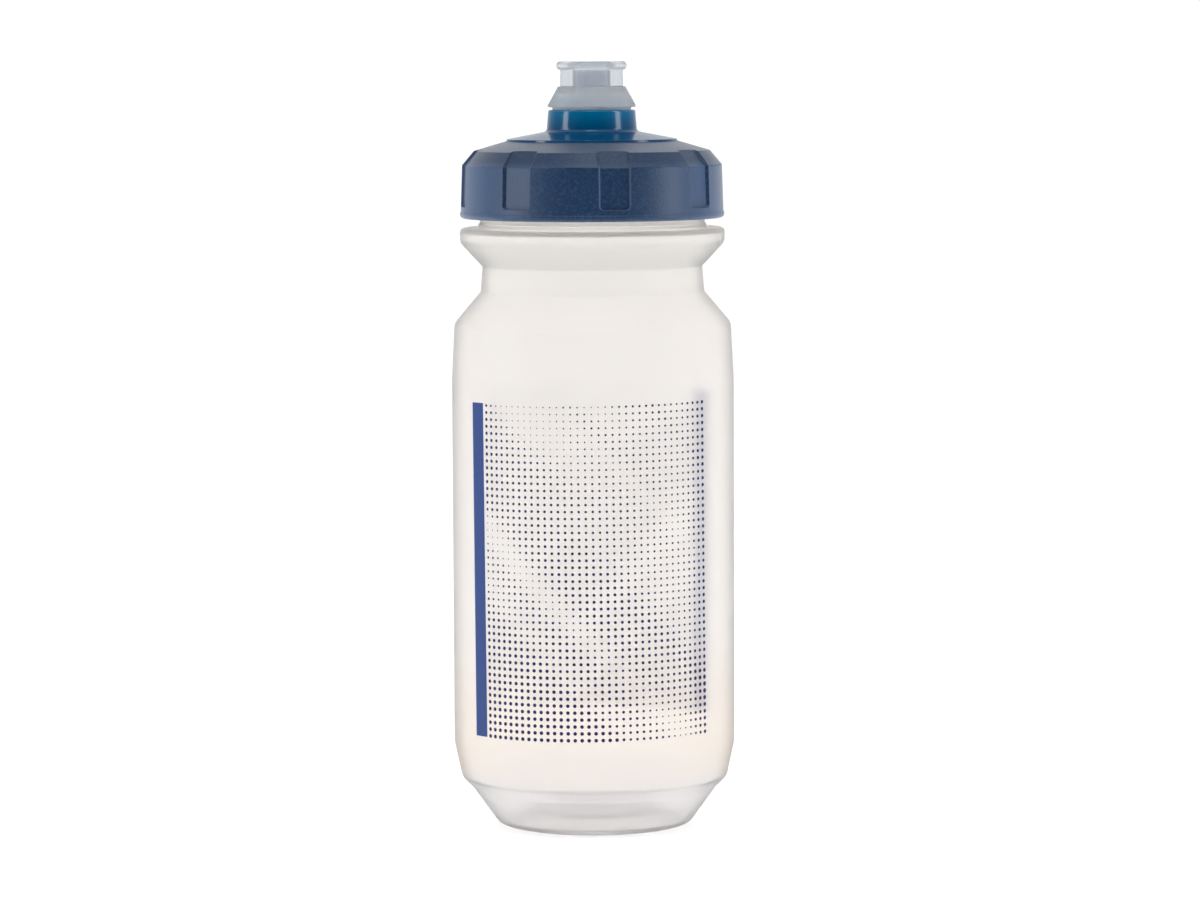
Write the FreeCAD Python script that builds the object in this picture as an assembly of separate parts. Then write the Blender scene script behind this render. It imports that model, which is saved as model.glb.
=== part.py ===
import FreeCAD, Part
import math
import os

# Squeeze bottle for a bicycle cage, closed, standing on its foot ring.
# Millimetres, +Z up, origin on the bottle's axis in the plane the foot stands on.
# A corner is (radius from the axis, height, rounding radius).

AXIS = FreeCAD.Vector(0, 0, 1)
ORIGIN = FreeCAD.Vector(0, 0, 0)

# Bottle body
WALL = 1.1
BODY_RADIUS = 36.75
BODY_BOTTOM = 21.5
BODY_TOP = 117.0
DISH_RADIUS = 15.5
DISH_HEIGHT = 3.0
FOOT_INNER = 20.0
FOOT_OUTER = 25.0
FOOT_CONE_RADIUS = 31.9
FOOT_CONE_TOP = 9.6
CREASE_RADIUS = 34.7
CREASE_HEIGHT = 12.4
SHOULDER_RADIUS = 35.95
SHOULDER_HEIGHT = 131.1

# Cage groove and grip ring
GROOVE_BOTTOM_RADIUS = 29.1
GROOVE_BOTTOM = 139.2
GROOVE_TOP_RADIUS = 28.55
GROOVE_TOP = 145.8
RING_RADIUS = 34.42
RING_BOTTOM = 152.1
RING_TOP = 155.8

# Neck and screw thread
NECK_RADIUS = 29.2
LIP_HEIGHT = 172.2
LIP_ROUNDING = 0.35
NECK_STEP_RADIUS = 29.6
NECK_STEP_TOP = 157.0
THREAD_PITCH = 5.0
THREAD_OVERLAP = 0.3
THREAD_START = 160.7
THREAD_TURNS = 1.5
THREAD_CREST_RADIUS = 31.0
THREAD_ROOT_WIDTH = 2.4
THREAD_CREST_WIDTH = 1.0

# Screw cap
CAP_BOTTOM = 158.35
CAP_BOTTOM_RADIUS = 34.35
CAP_BOTTOM_ROUNDING = 1.0
CAP_BAND_TOP = 159.8
CAP_WALL_BOTTOM = 160.0
CAP_WALL_RADIUS = 34.15
CAP_BEVEL_RADIUS = 33.75
CAP_BEVEL_BOTTOM = 172.1
CAP_SHOULDER_RADIUS = 30.64
CAP_SHOULDER_HEIGHT = 175.78
CAP_SEAT_RADIUS = 22.3
CAP_SEAT_RIM = 178.25
CAP_SEAT_HEIGHT = 177.7
CAP_HOLE_RADIUS = 13.0
CAP_PLATE_BOTTOM = 176.0
CAP_INNER_RADIUS = 31.9
CAP_INNER_BEVEL = 170.9
CAP_CEILING = 173.7
CAP_CEILING_RADIUS = 29.7
PLUG_RING_OUTER = 26.5
PLUG_RING_INNER = 25.2
PLUG_RING_BOTTOM = 170.2
CAP_THREAD_CREST_RADIUS = 29.8
CAP_THREAD_ROOT_WIDTH = 2.2
CAP_THREAD_TURNS = 1.4
CAP_THREAD_START_ANGLE = 180.0
CAP_THREAD_DROP = 2.0

# Finger recesses round the cap
RECESS_COUNT = 8
RECESS_FIRST_ANGLE = 10.0
RECESS_FLOOR_WIDTH = 7.4
RECESS_DRAFT = 0.7
RECESS_BOTTOM = 161.35
RECESS_BOTTOM_FLOOR = 33.15
RECESS_BEND = 171.9
RECESS_BEND_FLOOR = 32.72
RECESS_TOP = 177.5
RECESS_TOP_FLOOR = 28.17
RECESS_REACH = 3.0
RECESS_CORNER = 1.0

# Gasket in the cap
GASKET_INNER = 26.7
GASKET_OUTER = 29.5
GASKET_ROUNDING = 0.25

# Glossy nozzle base: flange, collar, inner tube and centre post
FLANGE_RADIUS = 22.15
FLANGE_EDGE_TOP = 178.75
FLANGE_INNER_TOP = 180.75
COLLAR_ROOT_RADIUS = 11.75
COLLAR_ROOT_FILLET = 1.1
COLLAR_TOP_RADIUS = 11.3
COLLAR_TOP = 186.3
COLLAR_TOP_ROUNDING = 0.45
COLLAR_BORE = 10.45
COLLAR_STOP = 183.3
POCKET_RADIUS = 11.1
HUB_RADIUS = 12.9
HUB_BOTTOM = 173.6
HUB_FLOOR = 175.2
SNAP_RADIUS = 13.45
SNAP_TOP = 175.9
SNAP_BOTTOM = 174.7
TUBE_OUTER = 8.7
TUBE_INNER = 7.5
TUBE_TOP = 189.7
POST_RADIUS = 4.2
POST_SHOULDER = 189.3
POST_TIP_RADIUS = 3.7
POST_TIP_BOTTOM = 190.5
POST_TIP_TOP = 196.3
POST_TIP_ROUNDING = 0.8
POST_CORE_RADIUS = 2.2
POST_CORE_TOP = 194.1
SPOKE_COUNT = 3
SPOKE_THICKNESS = 1.4
SPOKE_TOP = 182.5
SPOKE_FIRST_ANGLE = 90.0

# Mouthpiece that pulls up to open
STEM_BOTTOM = 175.3
STEM_OUTER = 10.2
STEM_INNER = 8.95
STEM_BEAD_RADIUS = 10.8
STEM_BEAD_BOTTOM = 175.8
STEM_BEAD_TOP = 176.8
SKIRT_BOTTOM = 187.0
SKIRT_RADIUS = 11.42
SKIRT_LIP = 0.45
CONE_TOP_RADIUS = 8.75
CONE_TOP = 192.35
MOUTH_NECK_RADIUS = 8.12
MOUTH_NECK_TOP = 196.7
MOUTH_RIM_RADIUS = 9.07
MOUTH_TOP = 198.8
MOUTH_RIM_ROUNDING = 0.85
STEM_CEILING = 190.4
OUTLET_RADIUS = 3.9
OUTLET_TOP_RADIUS = 6.0
OUTLET_FLARE = 196.5
OUTLET_ENTRY_RADIUS = 5.2
OUTLET_ENTRY = 191.8


def profile_point(radius, height):
    return FreeCAD.Vector(radius, 0, height)


def rounded_face(corners):
    """Flat face in the XZ plane whose outline has the given rounded corners."""
    points = [profile_point(radius, height) for radius, height, rounding in corners]
    count = len(corners)
    starts = []
    ends = []
    arcs = []
    for index in range(count):
        here = points[index]
        to_previous = (points[index - 1] - here).normalize()
        to_next = (points[(index + 1) % count] - here).normalize()
        rounding = corners[index][2]
        half_angle = to_previous.getAngle(to_next) / 2
        tangent = rounding / math.tan(half_angle)
        starts.append(here + to_previous * tangent)
        ends.append(here + to_next * tangent)
        if rounding > 0:
            to_centre = (to_previous + to_next).normalize()
            centre_distance = rounding / math.sin(half_angle)
            middle = here + to_centre * (centre_distance - rounding)
            arcs.append(Part.Arc(starts[index], middle, ends[index]).toShape())
        else:
            arcs.append(None)
    edges = []
    for index in range(count):
        if arcs[index] is not None:
            edges.append(arcs[index])
        edges.append(Part.makeLine(ends[index], starts[(index + 1) % count]))
    return Part.Face(Part.Wire(edges))


def turned(corners):
    """Solid turned round the bottle's axis from a rounded outline."""
    return rounded_face(corners).revolve(ORIGIN, AXIS, 360)


def tube(outer_radius, inner_radius, bottom, top):
    height = top - bottom
    outer = Part.makeCylinder(outer_radius, height, profile_point(0, bottom))
    inner = Part.makeCylinder(inner_radius, height, profile_point(0, bottom))
    return outer.cut(inner)


def inset_corners(corners, distance):
    """The same chain of corners moved inward by a wall thickness."""
    last = len(corners) - 1
    inner = []
    for index, (radius, height, rounding) in enumerate(corners):
        here = profile_point(radius, height)
        before = profile_point(*corners[max(index - 1, 0)][:2])
        after = profile_point(*corners[min(index + 1, last)][:2])
        arriving = (here - before) if index > 0 else (after - here)
        leaving = (after - here) if index < last else (here - before)
        arriving.normalize()
        leaving.normalize()
        normal_in = profile_point(-arriving.z, arriving.x)
        normal_out = profile_point(-leaving.z, leaving.x)
        miter = (normal_in + normal_out) * (distance / (1 + normal_in.dot(normal_out)))
        turns_inward = arriving.x * leaving.z - arriving.z * leaving.x > 0
        change = -distance if turns_inward else distance
        inner_rounding = max(rounding + change, LIP_ROUNDING) if rounding > 0 else 0
        inner.append((here.x + miter.x, here.z + miter.z, inner_rounding))
    return inner


def thread(root_radius, crest_radius, root_width, crest_width, turns, start, angle):
    """Right-hand trapezoidal thread, its root sunk into the wall that carries it."""
    outward = 1 if crest_radius > root_radius else -1
    sunk_radius = root_radius - outward * THREAD_OVERLAP
    helix = Part.makeHelix(THREAD_PITCH, THREAD_PITCH * turns, root_radius)
    outline = Part.makePolygon([
        profile_point(sunk_radius, -root_width / 2),
        profile_point(crest_radius, -crest_width / 2),
        profile_point(crest_radius, crest_width / 2),
        profile_point(sunk_radius, root_width / 2),
        profile_point(sunk_radius, -root_width / 2),
    ])
    ridge = Part.Wire(helix.Edges).makePipeShell([outline], True, True)
    ridge.rotate(ORIGIN, AXIS, angle)
    ridge.translate(profile_point(0, start))
    return ridge


def bottle():
    outside = [
        (0, DISH_HEIGHT, 0),
        (DISH_RADIUS, DISH_HEIGHT, 3.0),
        (FOOT_INNER, 0, 1.5),
        (FOOT_OUTER, 0, 3.0),
        (FOOT_CONE_RADIUS, FOOT_CONE_TOP, 4.0),
        (CREASE_RADIUS, CREASE_HEIGHT, 3.0),
        (BODY_RADIUS, BODY_BOTTOM, 10.0),
        (BODY_RADIUS, BODY_TOP, 60.0),
        (SHOULDER_RADIUS, SHOULDER_HEIGHT, 3.0),
        (GROOVE_BOTTOM_RADIUS, GROOVE_BOTTOM, 1.2),
        (GROOVE_TOP_RADIUS, GROOVE_TOP, 0.6),
        (RING_RADIUS, RING_BOTTOM, 3.0),
        (RING_RADIUS, RING_TOP, 1.2),
        (NECK_RADIUS, RING_TOP, 0.4),
        (NECK_RADIUS, LIP_HEIGHT, 0),
    ]
    inside = inset_corners(outside, WALL)
    outside[-1] = (NECK_RADIUS, LIP_HEIGHT, LIP_ROUNDING)
    inside[-1] = (NECK_RADIUS - WALL, LIP_HEIGHT, LIP_ROUNDING)
    shell = turned(outside + inside[::-1])
    neck_step = tube(NECK_STEP_RADIUS, NECK_RADIUS - WALL / 2, RING_TOP - WALL / 2, NECK_STEP_TOP)
    neck_thread = thread(NECK_RADIUS, THREAD_CREST_RADIUS, THREAD_ROOT_WIDTH,
                         THREAD_CREST_WIDTH, THREAD_TURNS, THREAD_START, 0)
    return shell.fuse([neck_step, neck_thread]).removeSplitter()


def recess_section(height, floor_radius):
    """Outline of one finger recess at one height, its mouth wider than its floor."""
    half_floor = RECESS_FLOOR_WIDTH / 2
    half_mouth = half_floor + RECESS_DRAFT * RECESS_REACH
    return Part.makePolygon([
        FreeCAD.Vector(-half_floor, -floor_radius, height),
        FreeCAD.Vector(half_floor, -floor_radius, height),
        FreeCAD.Vector(half_mouth, -floor_radius - RECESS_REACH, height),
        FreeCAD.Vector(-half_mouth, -floor_radius - RECESS_REACH, height),
        FreeCAD.Vector(-half_floor, -floor_radius, height),
    ])


def recess_cutter():
    sections = [
        recess_section(RECESS_BOTTOM, RECESS_BOTTOM_FLOOR),
        recess_section(RECESS_BEND, RECESS_BEND_FLOOR),
        recess_section(RECESS_TOP, RECESS_TOP_FLOOR),
    ]
    block = Part.makeLoft(sections, True, True)
    lower_corners = []
    for edge in block.Edges:
        low = edge.BoundBox.ZMax < RECESS_BOTTOM + 0.01
        radial = edge.BoundBox.YLength > RECESS_REACH / 2
        if low and radial:
            lower_corners.append(edge)
    return block.makeFillet(RECESS_CORNER, lower_corners)


def screw_cap():
    body = turned([
        (CAP_HOLE_RADIUS, CAP_SEAT_HEIGHT, 0.2),
        (CAP_SEAT_RADIUS, CAP_SEAT_HEIGHT, 0),
        (CAP_SEAT_RADIUS, CAP_SEAT_RIM, 0.1),
        (CAP_SHOULDER_RADIUS, CAP_SHOULDER_HEIGHT, 0.4),
        (CAP_BEVEL_RADIUS, CAP_BEVEL_BOTTOM, 0.4),
        (CAP_WALL_RADIUS, CAP_WALL_BOTTOM, 0),
        (CAP_BOTTOM_RADIUS, CAP_BAND_TOP, 0),
        (CAP_BOTTOM_RADIUS, CAP_BOTTOM, CAP_BOTTOM_ROUNDING),
        (CAP_INNER_RADIUS, CAP_BOTTOM, 0.5),
        (CAP_INNER_RADIUS, CAP_INNER_BEVEL, 0),
        (CAP_CEILING_RADIUS, CAP_CEILING, 0),
        (PLUG_RING_OUTER, CAP_CEILING, 0),
        (PLUG_RING_OUTER, PLUG_RING_BOTTOM, 0.4),
        (PLUG_RING_INNER, PLUG_RING_BOTTOM, 0.4),
        (PLUG_RING_INNER, CAP_PLATE_BOTTOM, 0.8),
        (CAP_HOLE_RADIUS, CAP_PLATE_BOTTOM, 0.2),
    ])
    cutter = recess_cutter()
    cutters = []
    for index in range(RECESS_COUNT):
        angle = RECESS_FIRST_ANGLE + index * 360.0 / RECESS_COUNT
        one = cutter.copy()
        one.rotate(ORIGIN, AXIS, angle)
        cutters.append(one)
    body = body.cut(cutters)
    start = THREAD_START - CAP_THREAD_DROP + THREAD_PITCH * CAP_THREAD_START_ANGLE / 360
    cap_thread = thread(CAP_INNER_RADIUS, CAP_THREAD_CREST_RADIUS, CAP_THREAD_ROOT_WIDTH,
                        THREAD_CREST_WIDTH, CAP_THREAD_TURNS, start, CAP_THREAD_START_ANGLE)
    return body.fuse(cap_thread).removeSplitter()


def cap_gasket():
    return turned([
        (GASKET_INNER, LIP_HEIGHT, GASKET_ROUNDING),
        (GASKET_OUTER, LIP_HEIGHT, GASKET_ROUNDING),
        (GASKET_OUTER, CAP_CEILING, GASKET_ROUNDING),
        (GASKET_INNER, CAP_CEILING, GASKET_ROUNDING),
    ])


def collar_shell():
    """Flange, collar and hub, bored for the sliding stem of the mouthpiece."""
    return turned([
        (FLANGE_RADIUS, CAP_SEAT_HEIGHT, 0),
        (FLANGE_RADIUS, FLANGE_EDGE_TOP, 0),
        (COLLAR_ROOT_RADIUS, FLANGE_INNER_TOP, COLLAR_ROOT_FILLET),
        (COLLAR_TOP_RADIUS, COLLAR_TOP, COLLAR_TOP_ROUNDING),
        (COLLAR_BORE, COLLAR_TOP, 0),
        (COLLAR_BORE, COLLAR_STOP, 0),
        (POCKET_RADIUS, COLLAR_STOP, 0),
        (POCKET_RADIUS, HUB_FLOOR, 0),
        (TUBE_INNER, HUB_FLOOR, 0),
        (TUBE_INNER, HUB_BOTTOM, 0),
        (HUB_RADIUS, HUB_BOTTOM, 0),
        (HUB_RADIUS, SNAP_BOTTOM, 0),
        (SNAP_RADIUS, (SNAP_BOTTOM + SNAP_TOP) / 2, 0),
        (HUB_RADIUS, SNAP_TOP, 0),
        (HUB_RADIUS, CAP_SEAT_HEIGHT, 0),
    ])


def centre_post():
    """Hollow post whose tip closes the outlet of the mouthpiece."""
    return turned([
        (POST_CORE_RADIUS, HUB_BOTTOM, 0),
        (POST_RADIUS, HUB_BOTTOM, 0),
        (POST_RADIUS, POST_SHOULDER, 0.5),
        (POST_TIP_RADIUS, POST_TIP_BOTTOM, 0.5),
        (POST_TIP_RADIUS, POST_TIP_TOP, POST_TIP_ROUNDING),
        (0, POST_TIP_TOP, 0),
        (0, POST_CORE_TOP, 0),
        (POST_CORE_RADIUS, POST_CORE_TOP, 0),
    ])


def spokes():
    """Upright webs that hold the centre post inside the inner tube."""
    reach = (TUBE_OUTER + TUBE_INNER) / 2
    webs = []
    for index in range(SPOKE_COUNT):
        web = Part.makeBox(reach, SPOKE_THICKNESS, SPOKE_TOP - HUB_BOTTOM)
        web.translate(FreeCAD.Vector(0, -SPOKE_THICKNESS / 2, HUB_BOTTOM))
        web.rotate(ORIGIN, AXIS, SPOKE_FIRST_ANGLE + index * 360.0 / SPOKE_COUNT)
        webs.append(web)
    return webs


def nozzle_base():
    inner_tube = tube(TUBE_OUTER, TUBE_INNER, HUB_BOTTOM, TUBE_TOP)
    solid = collar_shell().fuse([inner_tube, centre_post()] + spokes())
    post_core = Part.makeCylinder(POST_CORE_RADIUS, SPOKE_TOP - HUB_BOTTOM,
                                  profile_point(0, HUB_BOTTOM))
    return solid.cut(post_core).removeSplitter()


def mouthpiece():
    return turned([
        (STEM_INNER, STEM_BOTTOM, 0.3),
        (STEM_OUTER, STEM_BOTTOM, 0.3),
        (STEM_OUTER, STEM_BEAD_BOTTOM, 0),
        (STEM_BEAD_RADIUS, STEM_BEAD_TOP - 0.4, 0),
        (STEM_BEAD_RADIUS, STEM_BEAD_TOP, 0.1),
        (STEM_OUTER, STEM_BEAD_TOP, 0.1),
        (STEM_OUTER, SKIRT_BOTTOM, 0.3),
        (SKIRT_RADIUS, SKIRT_BOTTOM, 0.2),
        (SKIRT_RADIUS, SKIRT_BOTTOM + SKIRT_LIP, 0.2),
        (CONE_TOP_RADIUS, CONE_TOP, 0.3),
        (MOUTH_NECK_RADIUS, CONE_TOP, 0.15),
        (MOUTH_NECK_RADIUS, MOUTH_NECK_TOP, 0),
        (MOUTH_RIM_RADIUS, MOUTH_NECK_TOP, MOUTH_RIM_ROUNDING),
        (MOUTH_RIM_RADIUS, MOUTH_TOP, MOUTH_RIM_ROUNDING),
        (OUTLET_TOP_RADIUS, MOUTH_TOP, 0.5),
        (OUTLET_RADIUS, OUTLET_FLARE, 0.3),
        (OUTLET_RADIUS, OUTLET_ENTRY, 0.3),
        (OUTLET_ENTRY_RADIUS, STEM_CEILING, 0.5),
        (STEM_INNER, STEM_CEILING, 0.8),
    ])


PIECES = {
    "bottle": bottle,
    "cap_gasket": cap_gasket,
    "screw_cap": screw_cap,
    "nozzle_base": nozzle_base,
    "mouthpiece": mouthpiece,
}

os.makedirs("parts", exist_ok=True)
for name, build in PIECES.items():
    shape = build()
    solids = shape.Solids
    if len(solids) != 1 or not shape.isValid():
        raise RuntimeError(name + " is not one valid solid")
    solids[0].exportStep("parts/" + name + ".step")
    box = solids[0].BoundBox
    print(name, round(solids[0].Volume), [round(v, 2) for v in (box.XMin, box.XMax, box.ZMin, box.ZMax)])
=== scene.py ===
"""Bicycle water bottle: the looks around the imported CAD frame, in metres."""
import math

import bpy
from mathutils import Matrix, Vector


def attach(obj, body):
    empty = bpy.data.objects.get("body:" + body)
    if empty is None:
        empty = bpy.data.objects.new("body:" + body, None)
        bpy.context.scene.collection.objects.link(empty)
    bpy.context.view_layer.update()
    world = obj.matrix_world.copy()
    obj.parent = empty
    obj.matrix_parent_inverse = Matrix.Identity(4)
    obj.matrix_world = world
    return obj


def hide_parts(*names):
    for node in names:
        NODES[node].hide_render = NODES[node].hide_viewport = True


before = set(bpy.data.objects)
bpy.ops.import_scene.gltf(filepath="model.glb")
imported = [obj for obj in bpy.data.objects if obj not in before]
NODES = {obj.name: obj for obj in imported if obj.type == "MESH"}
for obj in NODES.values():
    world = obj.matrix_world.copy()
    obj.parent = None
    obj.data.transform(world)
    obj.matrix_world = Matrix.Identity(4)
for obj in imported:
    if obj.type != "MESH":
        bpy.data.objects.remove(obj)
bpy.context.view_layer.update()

MM = 0.001


# ---------------------------------------------------------------- node helpers
NOISE_SPAN = (0.3, 0.7)


def srgb(red, green, blue):
    """A linear colour with alpha, from display values of 0 to 255."""
    def linear(value):
        share = value / 255
        return share / 12.92 if share <= 0.04045 else ((share + 0.055) / 1.055) ** 2.4
    return linear(red), linear(green), linear(blue), 1.0


class Graph:
    """A node material, built up call by call."""

    def __init__(self, name):
        self.material = bpy.data.materials.new(name)
        self.material.use_nodes = True
        self.tree = self.material.node_tree
        self.tree.nodes.clear()
        self.place = self.add("ShaderNodeTexCoord").outputs["Object"]

    def add(self, kind, settings=None, **inputs):
        """One new node; an input's name has _ where the socket has a space."""
        node = self.tree.nodes.new(kind)
        for key, value in (settings or {}).items():
            setattr(node, key, value)
        for key, value in inputs.items():
            self.feed(node.inputs[key.replace("_", " ")], value)
        return node

    def feed(self, socket, value):
        if isinstance(value, bpy.types.NodeSocket):
            self.tree.links.new(value, socket)
        else:
            socket.default_value = value

    def noise(self, scale, detail=2.0, stretch=(1, 1, 1), roughness=0.5):
        """Noise with so many features to the metre."""
        spot = self.add("ShaderNodeMapping", Vector=self.place, Scale=stretch)
        grain = self.add("ShaderNodeTexNoise", Vector=spot.outputs[0], Scale=scale,
                         Detail=detail, Roughness=roughness)
        return grain.outputs["Fac"]

    def ramp(self, fac, low, high, out_low, out_high):
        """out_low where fac is low, out_high where it is high, straight between."""
        span = self.add("ShaderNodeMapRange", Value=fac)
        for socket, value in zip(span.inputs[1:5], (low, high, out_low, out_high)):
            socket.default_value = value
        return span.outputs[0]

    def above(self, span):
        """0 below a span of heights, in metres, rising to 1 above it."""
        height = self.add("ShaderNodeSeparateXYZ", Vector=self.place).outputs["Z"]
        return self.ramp(height, *span, 0.0, 1.0)

    def facing(self, normal):
        """0 where the surface faces the eye, 1 where it is seen edge on."""
        layer = self.add("ShaderNodeLayerWeight", Blend=0.5, Normal=normal)
        return layer.outputs["Facing"]

    def tint(self, fac, dark, light):
        """One colour where fac is 0, the other where it is 1."""
        mix = self.add("ShaderNodeMix", {"data_type": "RGBA"})
        self.feed(mix.inputs[0], fac)
        self.feed(mix.inputs[6], dark)
        self.feed(mix.inputs[7], light)
        return mix.outputs[2]

    def bump(self, height, distance, strength=1.0, normal=None):
        node = self.add("ShaderNodeBump", Height=height, Distance=distance,
                        Strength=strength)
        if normal is not None:
            self.feed(node.inputs["Normal"], normal)
        return node.outputs[0]

    def skin(self, tone, normal, grain, smoothest, roughest, ior=1.5):
        """The surface itself, its roughness following a grain."""
        shader = self.add("ShaderNodeBsdfPrincipled", Base_Color=tone, Normal=normal,
                          Roughness=self.ramp(grain, *NOISE_SPAN, smoothest, roughest))
        shader.inputs["IOR"].default_value = ior
        return shader

    def glow(self, tone, normal):
        """Light that comes through from the other side, scattered."""
        return self.add("ShaderNodeBsdfTranslucent", Color=tone, Normal=normal)

    def clear(self, tone, normal, roughness, ior):
        """Light that passes through blurred."""
        return self.add("ShaderNodeBsdfRefraction", Color=tone, Normal=normal,
                        Roughness=roughness, IOR=ior)

    def blend(self, fac, first, second):
        """One shader where fac is 0, the other where it is 1."""
        mix = self.add("ShaderNodeMixShader")
        self.feed(mix.inputs[0], fac)
        self.feed(mix.inputs[1], first.outputs[0])
        self.feed(mix.inputs[2], second.outputs[0])
        return mix

    def finish(self, shader):
        self.add("ShaderNodeOutputMaterial", Surface=shader.outputs[0])
        return self.material


# ------------------------------------------------------------------- materials
# Heights between which a tone changes, in metres
FOOT_CONE = (0.0115, 0.0165)
LOWER_BODY = (0.024, 0.052)
CAGE_GROOVE = (0.136, 0.142)
CAP_BEVEL = (0.1715, 0.1735)
COLLAR = (0.1815, 0.1862)
MOUTHPIECE_CONE = (0.1905, 0.1935)


def ldpe_material():
    """Milky LDPE: it scatters light through the wall and lets some pass blurred."""
    g = Graph("milky_ldpe")
    haze = g.noise(60, 3.0, (1, 1, 0.25))
    orange_peel = g.noise(420, 2.0)
    normal = g.bump(orange_peel, 0.00002, 0.6)
    tone = g.tint(haze, srgb(245, 243, 242), srgb(250, 248, 246))
    tone = g.tint(g.above(LOWER_BODY), srgb(247, 240, 233), tone)
    # Painted light: above the cage groove the shoulder, ring and neck are painted lighter,
    # to lift the shade the cap casts on them.
    tone = g.tint(g.above(CAGE_GROOVE), tone, srgb(254, 253, 251))
    # Painted shade: below the foot cone the tone is darker and greyer, for the shade near
    # the base.
    tone = g.tint(g.above(FOOT_CONE), srgb(239, 240, 242), tone)
    scattering = g.blend(0.7, g.skin(tone, normal, haze, 0.30, 0.38), g.glow(tone, normal))
    clear = g.clear(srgb(255, 254, 253), normal, 0.28, 1.15)
    clear_share = g.ramp(g.facing(normal), 0.0, 0.9, 0.72, 0.54)
    return g.finish(g.blend(clear_share, scattering, clear))


def cap_material():
    """Matt navy with the fine grain of a spark-eroded mould, its wall's sides lighter by a
    painted sheen and its grain flecked with painted glints.
    """
    g = Graph("matt_navy")
    grain = g.noise(1800, 2.0)
    cloud = g.noise(70, 2.0)
    edge = g.add("ShaderNodeBevel", {"samples": 6}, Radius=0.0004)
    normal = g.bump(grain, 0.00006, 0.6, edge.outputs[0])
    tone = g.tint(cloud, srgb(0, 34, 66), srgb(0, 42, 78))
    # Painted sheen: below the bevel the wall is painted lighter where it is seen edge on,
    # standing in for the side lamps' reflection.
    painted_sheen_tone = g.tint(g.ramp(g.facing(normal), 0.03, 0.5, 0.0, 1.0), tone, srgb(52, 76, 110))
    tone = g.tint(g.above(CAP_BEVEL), painted_sheen_tone, tone)
    # Lighter specks where the grain is high: partly the grain's own colour, partly painted
    # glints of the lamps on it.
    grain_and_glint_speck = g.ramp(grain, 0.48, 0.68, 0.0, 0.26)
    tone = g.tint(grain_and_glint_speck, tone, srgb(44, 88, 122))
    skin = g.skin(tone, normal, grain, 0.34, 0.46, 1.42)
    skin.inputs["Sheen Weight"].default_value = 0.15
    skin.inputs["Sheen Roughness"].default_value = 0.4
    return g.finish(skin)


def nozzle_material():
    """Glossy blue that lets a little light in."""
    g = Graph("gloss_blue")
    cloud = g.noise(90, 2.0)
    ripple = g.noise(260, 2.0, (1, 1, 0.4))
    edge = g.add("ShaderNodeBevel", {"samples": 6}, Radius=0.0003)
    normal = g.bump(ripple, 0.00002, 0.5, edge.outputs[0])
    tone = g.tint(cloud, srgb(0, 78, 124), srgb(0, 88, 136))
    # Painted glow: above the collar's foot the tone is a lighter teal, standing in for
    # light that comes through the collar.
    tone = g.tint(g.above(COLLAR), tone, srgb(0, 122, 168))
    skin = g.skin(tone, normal, cloud, 0.10, 0.16, 1.55)
    return g.finish(g.blend(0.35, skin, g.glow(srgb(0, 140, 200), normal)))


def mouthpiece_material():
    """Soft frosted plastic that blurs what is behind it."""
    g = Graph("frosted_soft")
    haze = g.noise(160, 3.0)
    fine = g.noise(1800, 2.0)
    normal = g.bump(fine, 0.00003, 0.4)
    tone = g.tint(haze, srgb(246, 249, 251), srgb(252, 254, 255))
    tone = g.tint(g.above(MOUTHPIECE_CONE), tone, srgb(233, 236, 239))
    skin = g.skin(tone, normal, haze, 0.34, 0.44, 1.45)
    scattering = g.blend(0.55, skin, g.glow(tone, normal))
    clear = g.clear(srgb(246, 248, 250), normal, 0.22, 1.25)
    return g.finish(g.blend(0.5, scattering, clear))


def gasket_material():
    """Off-white silicone."""
    g = Graph("silicone")
    haze = g.noise(300, 2.0)
    tone = g.tint(haze, srgb(214, 214, 210), srgb(228, 228, 224))
    return g.finish(g.skin(tone, g.bump(haze, 0.00003, 0.4), haze, 0.5, 0.62))


def ink_material(name, dark, light, through):
    """Screen-printed ink: an uneven film that light passes through as blue."""
    g = Graph(name)
    film = g.noise(900, 3.0)
    normal = g.bump(film, 0.00001, 0.4)
    skin = g.skin(g.tint(film, dark, light), normal, film, 0.38, 0.50)
    return g.finish(g.blend(0.5, skin, g.glow(through, normal)))


def floor_material():
    """Pale studio paper."""
    g = Graph("studio_paper")
    fibre = g.noise(900, 3.0)
    tone = g.tint(fibre, srgb(249, 249, 249), srgb(254, 254, 254))
    skin = g.skin(tone, g.bump(fibre, 0.00002, 0.3), fibre, 0.9, 0.9)
    skin.inputs["Emission Color"].default_value = (1, 1, 1, 1)
    skin.inputs["Emission Strength"].default_value = 0.28
    return g.finish(skin)


def paint(obj, material):
    obj.data.materials.clear()
    obj.data.materials.append(material)


def new_object(name, verts, faces, material, body=None, slot=None):
    """A mesh piece in one material, that rides on a body if one is given."""
    mesh = bpy.data.meshes.new(name)
    mesh.from_pydata(verts, [], faces)
    mesh.update()
    obj = bpy.data.objects.new(name, mesh)
    bpy.context.scene.collection.objects.link(obj)
    paint(obj, material)
    if body:
        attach(obj, body)
    return obj


# ---------------------------------------------------------------- turned shapes
# Lengths of outlines are in mm, and become metres as the outline is turned
ARC_STEP = math.radians(7)
LONGEST_RUN = 3.0
LEAST_ROUNDING = 0.35
TURN_STEPS = 180
ON_AXIS = 1e-6


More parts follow.
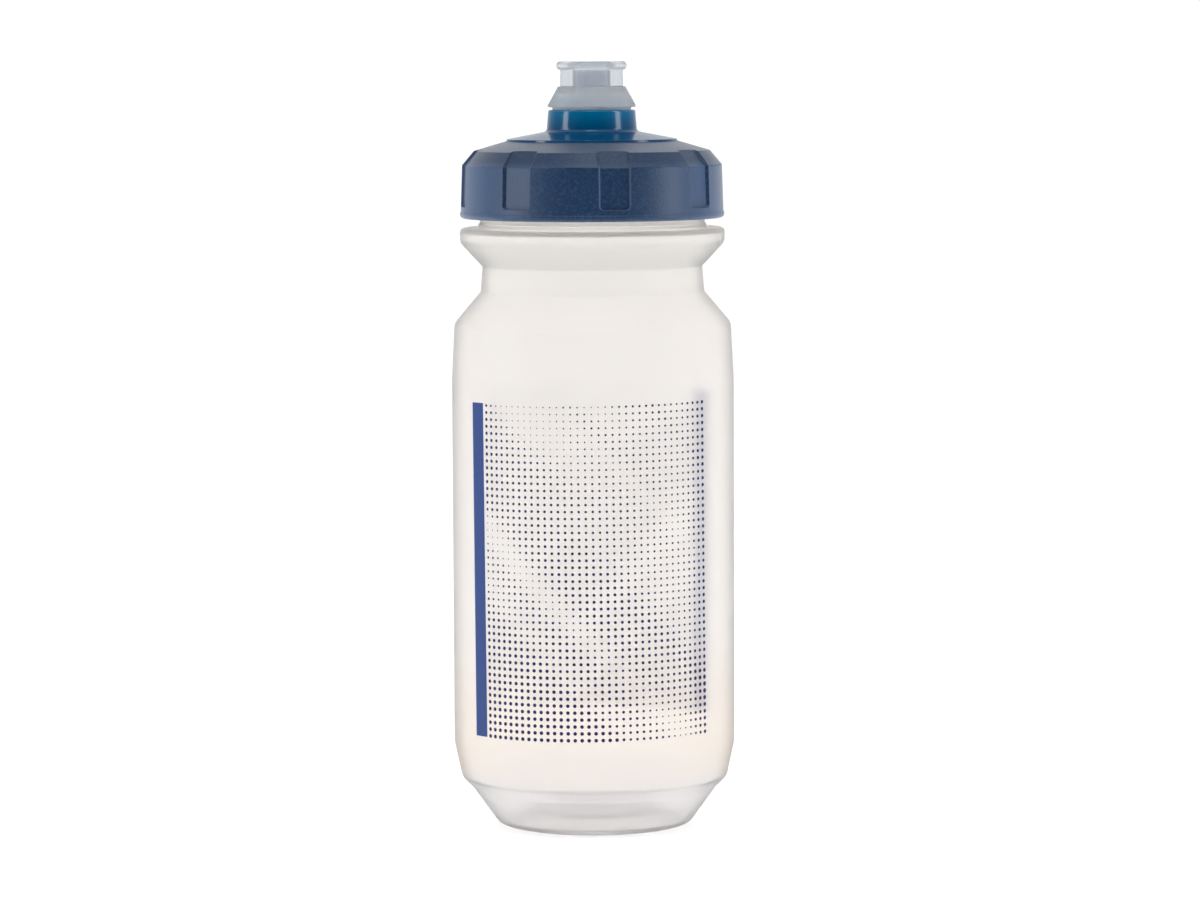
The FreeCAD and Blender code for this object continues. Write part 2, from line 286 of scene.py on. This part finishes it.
def rounded_outline(corners):
    """Points of an outline, in mm, from corners of (radius, height, rounding)."""
    points = []
    last = len(corners) - 1
    for index, (radius, height, rounding) in enumerate(corners):
        here = Vector((radius, height))
        if rounding <= 0 or index in (0, last):
            points.append(here)
            continue
        back = (Vector(corners[index - 1][:2]) - here).normalized()
        on = (Vector(corners[index + 1][:2]) - here).normalized()
        half = back.angle(on) / 2
        centre = here + (back + on).normalized() * (rounding / math.sin(half))
        start = here + back * (rounding / math.tan(half)) - centre
        sweep = math.pi - 2 * half
        sweep *= 1 if back.x * on.y - back.y * on.x < 0 else -1
        steps = max(2, math.ceil(abs(sweep) / ARC_STEP))
        for k in range(steps + 1):
            cos, sin = math.cos(sweep * k / steps), math.sin(sweep * k / steps)
            points.append(centre + Vector((start.x * cos - start.y * sin,
                                           start.x * sin + start.y * cos)))
    return points


def short_runs(points):
    """The same outline with its long straight runs divided."""
    divided = [points[0]]
    for here, there in zip(points, points[1:]):
        steps = max(1, math.ceil((there - here).length / LONGEST_RUN))
        divided += [here.lerp(there, k / steps) for k in range(1, steps + 1)]
    return divided


def inset(corners, distance):
    """The same chain of corners moved inward by a wall thickness."""
    inner = []
    for index, (radius, height, rounding) in enumerate(corners):
        here = Vector((radius, height))
        before = Vector(corners[max(index - 1, 0)][:2])
        after = Vector(corners[min(index + 1, len(corners) - 1)][:2])
        arriving = (here - before if index else after - here).normalized()
        leaving = (after - here if index < len(corners) - 1 else here - before).normalized()
        normal_in = Vector((-arriving.y, arriving.x))
        normal_out = Vector((-leaving.y, leaving.x))
        miter = (normal_in + normal_out) * (distance / (1 + normal_in.dot(normal_out)))
        inward = arriving.x * leaving.y - arriving.y * leaving.x > 0
        inner_rounding = rounding + (-distance if inward else distance)
        inner_rounding = max(inner_rounding, LEAST_ROUNDING)
        inner.append((here.x + miter.x, here.y + miter.y,
                      inner_rounding if rounding > 0 else 0))
    return inner


def lathe(outline, steps=TURN_STEPS):
    """Vertices and faces of an outline, in mm, turned round the axis from pole to pole."""
    verts, faces, rings = [], [], []
    for point in outline:
        if point.x < ON_AXIS:
            rings.append([len(verts)] * steps)
            verts.append((0, 0, point.y * MM))
            continue
        rings.append(list(range(len(verts), len(verts) + steps)))
        for k in range(steps):
            angle = 2 * math.pi * k / steps
            verts.append((point.x * MM * math.cos(angle),
                          point.x * MM * math.sin(angle), point.y * MM))
    for low_ring, high_ring in zip(rings, rings[1:]):
        for k in range(steps):
            m = (k + 1) % steps
            face = [low_ring[k], low_ring[m], high_ring[m], high_ring[k]]
            faces.append(list(dict.fromkeys(face)))
    return verts, faces


def smooth(obj, crease_degrees=40):
    obj.data.shade_smooth()
    obj.data.set_sharp_from_angle(angle=math.radians(crease_degrees))


# --------------------------------------------------------------- bottle's body
WALL = 1.1
NECK_R = 29.2
LIP_Z = 172.2
RING_TOP = 155.8
NECK_STEP_R, NECK_STEP_TOP = 29.6, 157.0
PRINT_ZONE_R = 36.70
BOTTLE_CORNERS = [
    (0, 3.0, 0),
    (15.5, 3.0, 3.0),
    (20.0, 0, 1.5),
    (25.0, 0, 3.0),
    (31.9, 9.6, 4.0),
    (34.7, 12.4, 3.0),
    (PRINT_ZONE_R, 21.5, 10.0),
    (PRINT_ZONE_R, 117.0, 60.0),
    (35.95, 131.1, 3.0),
    (29.1, 139.2, 1.2),
    (28.55, 145.8, 0.6),
    (34.42, 152.1, 3.0),
    (34.42, RING_TOP, 1.2),
    (NECK_R, RING_TOP, 0.4),
    (NECK_R, LIP_Z, 0),
]
THREAD_PITCH, THREAD_TURNS, THREAD_START = 5.0, 1.5, 160.7
THREAD_STEPS_A_TURN = 72
THREAD_SECTION = [(28.9, -1.2), (31.0, -0.5), (31.0, 0.5), (28.9, 1.2)]


def blown_bottle(material):
    """The bottle's hollow wall, its print zone set back by the ink's thickness."""
    inside = inset(BOTTLE_CORNERS, WALL)
    step = [(NECK_STEP_R, RING_TOP, 0.4), (NECK_STEP_R, NECK_STEP_TOP, 0.2),
            (NECK_R, NECK_STEP_TOP, 0.1), (NECK_R, LIP_Z, LEAST_ROUNDING)]
    outside = BOTTLE_CORNERS[:-2] + step
    inside[-1] = (NECK_R - WALL, LIP_Z, LEAST_ROUNDING)
    outline = short_runs(rounded_outline(outside + inside[::-1]))
    wall = new_object("blown_bottle", *lathe(outline), material, "bottle", "bottle_ldpe")
    smooth(wall)
    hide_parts("bottle")


def neck_thread(material):
    """The screw ridge on the neck, a closed helical sweep."""
    steps = int(THREAD_STEPS_A_TURN * THREAD_TURNS)
    sides = len(THREAD_SECTION)
    verts, faces = [], []
    for k in range(steps + 1):
        angle = 2 * math.pi * THREAD_TURNS * k / steps
        rise = THREAD_START + THREAD_PITCH * THREAD_TURNS * k / steps
        for radius, height in THREAD_SECTION:
            verts.append((radius * MM * math.cos(angle), radius * MM * math.sin(angle),
                          (rise + height) * MM))
    for k in range(steps):
        for n in range(sides):
            m = (n + 1) % sides
            here, there = k * sides, (k + 1) * sides
            faces.append([here + n, there + n, there + m, here + m])
    faces.append(list(range(sides)))
    faces.append(list(range(steps * sides, (steps + 1) * sides))[::-1])
    ridge = new_object("neck_thread", verts, faces, material, "bottle", "bottle_ldpe")
    smooth(ridge)


# ----------------------------------------------------------------- the printing
# Front and back carry the same print: a tilted grid of dots, and a bar on its left.
# Distances are from the middle of the panel, along the wall.
BODY_R = 36.75 * MM
INK_OUT, INK_IN = BODY_R - 0.01 * MM, BODY_R - 0.05 * MM
COLUMNS, ROWS = 36, 49
COLUMN_PITCH, ROW_PITCH = 1.785 * MM, 1.773 * MM
PRINT_MIDDLE_Z = 65.55 * MM
PRINT_TILT = math.radians(0.62)
FIRST_COLUMN = -17.0
FIRST_ROW = 26.0
DOT_SIDES = 14
LEAST_DOT, LARGEST_DOT = 0.15 * MM, 0.62 * MM
BAR_LOW, BAR_HIGH = -39.4 * MM, 46.7 * MM
BAR_NEAR, BAR_FAR = -36.25 * MM, -31.65 * MM
PANELS = {"front": 0.0, "back": math.pi}


def ramp_up(value, start, width):
    """0 up to start, 1 past start + width, smooth between."""
    share = min(max((value - start) / width, 0.0), 1.0)
    return share * share * (3 - 2 * share)


def streak(value, middle, width):
    """1 in the middle, falling away to both sides."""
    return math.exp(-((value - middle) / width) ** 2)


# The halftone's diagonal streaks: ink share, middle and width across the diagonal,
# the rows where each one changes and over how many, and its part before and after
STREAKS = [
    (-0.167, -17.6, 3.0, 29.0, 13.6, 1.0, 0.48),
    (-0.126, -25.5, 4.2, 25.0, 13.7, 1.0, 0.16),
    (-0.047, 11.8, 1.3, 23.0, 1.8, 1.0, 0.0),
    (-0.230, 5.4, 4.9, -4.8, 19.7, 1.0, 0.0),
    (-0.576, 17.1, 3.3, -23.6, 31.7, 1.0, 0.0),
    (0.036, 25.8, 0.7, 0.0, 1.0, 1.0, 1.0),
    (0.204, -6.0, 2.6, 6.5, 67.0, 0.0, 1.0),
    (-0.079, -16.4, 5.8, 40.6, 5.4, 0.0, 1.0),
    (0.107, -18.0, 9.0, 13.0, 20.3, 0.0, 1.0),
]
BASE_SHARE, SIDEWAYS_CHANGE, LEAST_SHARE = 0.106, 0.039, 0.008
MIDDLE_COLUMN = 17.5
LOWER_LEFT_SHARE, LOWER_LEFT_EDGE, LOWER_LEFT_ROWS = 0.71, (-28.4, 2.3), (1.4, 185)
UPPER_LEFT_SHARE, UPPER_LEFT_COLUMNS, UPPER_LEFT_ROWS = 0.050, (-0.2, 3.4), (15.2, 1.2)
RIGHT_SHARE, RIGHT_START, RIGHT_COLUMNS = 0.143, 29.6, 5.4


def ink_share(column, row):
    """How much of a cell is inked: diagonal streaks of light across a halftone."""
    across = column - row
    share = BASE_SHARE - SIDEWAYS_CHANGE * (column - MIDDLE_COLUMN) / MIDDLE_COLUMN
    past_edge = ramp_up(across, *LOWER_LEFT_EDGE)
    share += LOWER_LEFT_SHARE * (1 - past_edge) * ramp_up(row, *LOWER_LEFT_ROWS)
    past_columns = ramp_up(column, *UPPER_LEFT_COLUMNS)
    past_rows = ramp_up(row, *UPPER_LEFT_ROWS)
    share += UPPER_LEFT_SHARE * (1 - past_columns) * (1 - past_rows)
    share += RIGHT_SHARE * (max(column - RIGHT_START, 0) / RIGHT_COLUMNS) ** 2
    for amount, middle, width, start, rows, before, after in STREAKS:
        part = before + (after - before) * ramp_up(row, start, rows)
        share += amount * streak(across, middle, width) * part
    return max(share, LEAST_SHARE)


def on_wall(around, up, radius, turn):
    """A point of the print, around and up from the panel's middle, on the wall."""
    s = around * math.cos(PRINT_TILT) - up * math.sin(PRINT_TILT)
    z = around * math.sin(PRINT_TILT) + up * math.cos(PRINT_TILT)
    angle = s / BODY_R + turn
    return radius * math.sin(angle), -radius * math.cos(angle), PRINT_MIDDLE_Z + z


def print_dots(side, turn, material):
    """A panel's dots, each a thin closed disc of ink."""
    verts, faces = [], []
    for row in range(ROWS):
        for column in range(COLUMNS):
            share = ink_share(column, row)
            size = COLUMN_PITCH * math.sqrt(share / math.pi)
            size = min(max(size, LEAST_DOT), LARGEST_DOT)
            around = (column + FIRST_COLUMN) * COLUMN_PITCH
            up = (FIRST_ROW - row) * ROW_PITCH
            first = len(verts)
            for radius in (INK_IN, INK_OUT):
                for k in range(DOT_SIDES):
                    turn_k = 2 * math.pi * k / DOT_SIDES
                    verts.append(on_wall(around + size * math.cos(turn_k),
                                         up + size * math.sin(turn_k), radius, turn))
            inner = list(range(first, first + DOT_SIDES))
            outer = [v + DOT_SIDES for v in inner]
            faces += [inner[::-1], outer]
            for k in range(DOT_SIDES):
                m = (k + 1) % DOT_SIDES
                faces.append([inner[k], inner[m], outer[m], outer[k]])
    return new_object(side + "_print_dots", verts, faces, material,
                      "bottle", "bottle_ldpe")


BAR_STEPS = 8


def print_bar(side, turn, material):
    """A panel's plain bar, a thin closed strip of ink bent round the wall."""
    verts, faces = [], []
    for radius in (INK_IN, INK_OUT):
        for up in (BAR_LOW, BAR_HIGH):
            for k in range(BAR_STEPS + 1):
                around = BAR_NEAR + (BAR_FAR - BAR_NEAR) * k / BAR_STEPS
                verts.append(on_wall(around, up, radius, turn))
    row = BAR_STEPS + 1
    low_in, high_in, low_out, high_out = (
        [start * row + k for k in range(row)] for start in range(4))
    for k in range(BAR_STEPS):
        faces.append([low_in[k], high_in[k], high_in[k + 1], low_in[k + 1]])
        faces.append([low_out[k], low_out[k + 1], high_out[k + 1], high_out[k]])
        faces.append([low_in[k], low_in[k + 1], low_out[k + 1], low_out[k]])
        faces.append([high_in[k], high_out[k], high_out[k + 1], high_in[k + 1]])
    faces.append([low_in[0], low_out[0], high_out[0], high_in[0]])
    faces.append([low_in[-1], high_in[-1], high_out[-1], low_out[-1]])
    return new_object(side + "_print_bar", verts, faces, material,
                      "bottle", "bottle_ldpe")


# ---------------------------------------------------------------- light and view
FLOOR_HALF = 3.0
FLOOR_Z = -0.0002


def studio():
    corners = [(-FLOOR_HALF, -FLOOR_HALF, 0), (FLOOR_HALF, -FLOOR_HALF, 0),
               (FLOOR_HALF, FLOOR_HALF, 0), (-FLOOR_HALF, FLOOR_HALF, 0)]
    floor = new_object("floor", corners, [[0, 1, 2, 3]], floor_material())
    floor.location.z = FLOOR_Z


def soft_light(name, place, aim, size, power):
    """A rectangular soft box, turned to what it lights."""
    lamp = bpy.data.lights.new(name, "AREA")
    lamp.shape = "RECTANGLE"
    lamp.size, lamp.size_y = size
    lamp.energy = power
    obj = bpy.data.objects.new(name, lamp)
    bpy.context.scene.collection.objects.link(obj)
    obj.location = place
    obj.rotation_euler = (Vector(aim) - Vector(place)).to_track_quat("-Z", "Y").to_euler()


# Soft room light by direction: axis, where it starts, where it is full, strength
ROOM_LIGHT = [("Y", -0.95, -0.2, 0.32), ("Y", 0.3, 1.0, 0.85), ("Z", 0.2, 0.9, 0.62)]
SEEN_WHITE = 1.05
LIGHTS_AIM = (0, 0, 0.1)
SIDE_BOX_REACH, SIDE_BOX_Y, SIDE_BOX_Z = 1.1, -0.35, 0.35
SIDE_BOX_SIZE, SIDE_BOX_POWER = (0.3, 1.1), 6.2
TOP_BOX_PLACE, TOP_BOX_SIZE, TOP_BOX_POWER = (0, -0.45, 1.1), (0.36, 0.2), 2.5


def room():
    """A white backdrop for the camera and a soft fill for everything else."""
    world = bpy.data.worlds.new("studio")
    bpy.context.scene.world = world
    world.use_nodes = True
    tree = world.node_tree
    tree.nodes.clear()

    def add(kind, *inputs):
        node = tree.nodes.new(kind)
        for socket, value in zip(node.inputs, inputs):
            if isinstance(value, bpy.types.NodeSocket):
                tree.links.new(value, socket)
            elif value is not None:
                socket.default_value = value
        return node.outputs

    split = add("ShaderNodeSeparateXYZ", add("ShaderNodeTexCoord")["Generated"])
    strength = 0.0
    for axis, start, full, power in ROOM_LIGHT:
        part = add("ShaderNodeMapRange", split[axis], start, full, 0.0, power)[0]
        strength = add("ShaderNodeMath", strength, part)[0]
    white = (1, 1, 1, 1)
    fill = add("ShaderNodeBackground", white, strength)[0]
    seen = add("ShaderNodeBackground", white, SEEN_WHITE)[0]
    camera_ray = add("ShaderNodeLightPath")["Is Camera Ray"]
    add("ShaderNodeOutputWorld", add("ShaderNodeMixShader", camera_ray, fill, seen)[0])


def lights():
    room()
    for name, side in (("left_box", -1), ("right_box", 1)):
        place = (side * SIDE_BOX_REACH, SIDE_BOX_Y, SIDE_BOX_Z)
        soft_light(name, place, LIGHTS_AIM, SIDE_BOX_SIZE, SIDE_BOX_POWER)
    soft_light("top_box", TOP_BOX_PLACE, LIGHTS_AIM, TOP_BOX_SIZE, TOP_BOX_POWER)


# The camera's distance from the bottle's axis, tilt, roll, and the height it aims at
CAMERA_REACH = 1.240
CAMERA_DROP = math.radians(4.87)
CAMERA_ROLL = math.radians(-0.258)
CAMERA_AIM_Z = 0.0977
CAMERA_LENS, SENSOR_WIDTH = 143.04, 36.0
AXIS_SHIFT = 0.005625


def camera():
    data = bpy.data.cameras.new("camera")
    data.lens, data.sensor_width = CAMERA_LENS, SENSOR_WIDTH
    data.shift_x = AXIS_SHIFT
    obj = bpy.data.objects.new("camera", data)
    bpy.context.scene.collection.objects.link(obj)
    height = CAMERA_AIM_Z + CAMERA_REACH * math.tan(CAMERA_DROP)
    tilt = Matrix.Rotation(math.pi / 2 - CAMERA_DROP, 4, "X")
    roll = Matrix.Rotation(CAMERA_ROLL, 4, "Z")
    obj.matrix_world = Matrix.Translation((0, -CAMERA_REACH, height)) @ tilt @ roll
    bpy.context.scene.camera = obj


milky = ldpe_material()
blown_bottle(milky)
neck_thread(milky)
dot_ink = ink_material("ink_dots", srgb(46, 50, 104), srgb(56, 60, 114), srgb(50, 62, 130))
bar_ink = ink_material("ink_bar", srgb(56, 76, 118), srgb(64, 84, 126), srgb(104, 158, 236))
for side, turn in PANELS.items():
    print_dots(side, turn, dot_ink)
    print_bar(side, turn, bar_ink)
paint(NODES["screw_cap"], cap_material())
paint(NODES["nozzle_base"], nozzle_material())
paint(NODES["mouthpiece"], mouthpiece_material())
paint(NODES["cap_gasket"], gasket_material())
studio()
lights()
camera()

scene = bpy.context.scene
scene.view_settings.view_transform = "Standard"
scene.cycles.max_bounces = 24
scene.cycles.diffuse_bounces = 8
scene.cycles.transmission_bounces = 16
